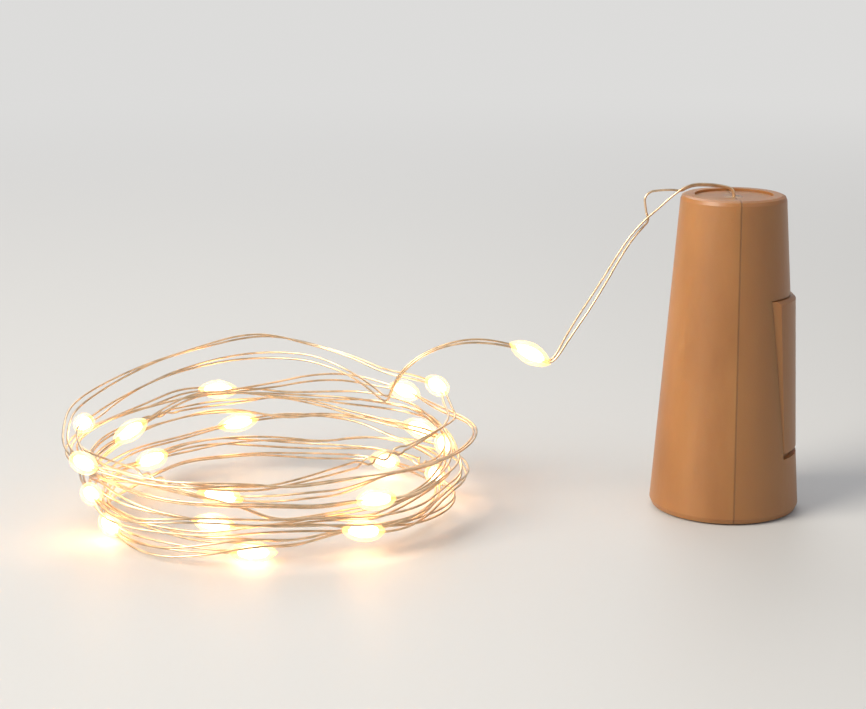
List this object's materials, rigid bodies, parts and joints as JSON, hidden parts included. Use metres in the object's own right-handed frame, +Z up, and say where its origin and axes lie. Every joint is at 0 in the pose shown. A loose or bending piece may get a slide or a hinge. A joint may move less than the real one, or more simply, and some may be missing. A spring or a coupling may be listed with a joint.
{
  "type": "cork bottle light",
  "caption": "Cork-shaped bottle light with a pull-out battery tray, a slide switch and a coiled wire of light drops.",
  "frame": {"origin": "centre of the cork's wide end, which stands on the surface", "axes": "+Z up to the thin end, +X out through the battery tray's door, -Y towards the viewer, the coil lies towards -X"},
  "size_m": [0.1234, 0.0575, 0.0558],
  "materials": {
    "left_shell": "satin translucent caramel",
    "right_shell": "satin translucent caramel",
    "battery_tray": "satin translucent caramel",
    "cell_steel": "bright",
    "cell_lid": "fine brushed",
    "contact": "nickel plated",
    "terminal": "tinned",
    "board": "solder mask",
    "resistor": "matt",
    "switch_case": "pressed",
    "switch_slider": "matt",
    "glue": "cured clear glue",
    "wire": "lacquered copper",
    "drop": "clear cast drop",
    "chip": "lit"
  },
  "bodies": {
    "housing": {"left_shell": "left_shell", "right_shell": "right_shell", "negative_contact": "contact", "positive_contact": "contact", "circuit_board": "board", "resistor": "resistor", "switch_case": "switch_case", "switch_terminals": "terminal", "exit_glue": "glue", "feed_wire": "wire", "wire_free": "wire", "wire_coil": "wire", "led_drop_01": "drop", "led_drop_02": "drop", "led_drop_03": "drop", "led_drop_04": "drop", "led_drop_05": "drop", "led_drop_06": "drop", "led_drop_07": "drop", "led_drop_08": "drop", "led_drop_09": "drop", "led_drop_10": "drop", "led_drop_11": "drop", "led_drop_12": "drop", "led_drop_13": "drop", "led_drop_14": "drop", "led_drop_15": "drop", "led_drop_16": "drop", "led_drop_17": "drop", "led_drop_18": "drop", "led_drop_19": "drop", "led_drop_20": "drop", "led_chips": "chip"},
    "tray": {"battery_tray": "battery_tray", "cell_can_1": "cell_steel", "cell_cap_1": "cell_lid", "cell_can_2": "cell_steel", "cell_cap_2": "cell_lid", "cell_can_3": "cell_steel", "cell_cap_3": "cell_lid"},
    "slider": {"switch_slider": "switch_slider"}
  },
  "joints": [
    {"name": "tray_slide", "type": "slide", "parent": "housing", "child": "tray", "axis": [1, 0, 0], "range_m": [0, 0.02]},
    {"name": "switch_slide", "type": "slide", "parent": "housing", "child": "slider", "axis": [1, 0, 0], "range_m": [0, 0.002]}
  ]
}
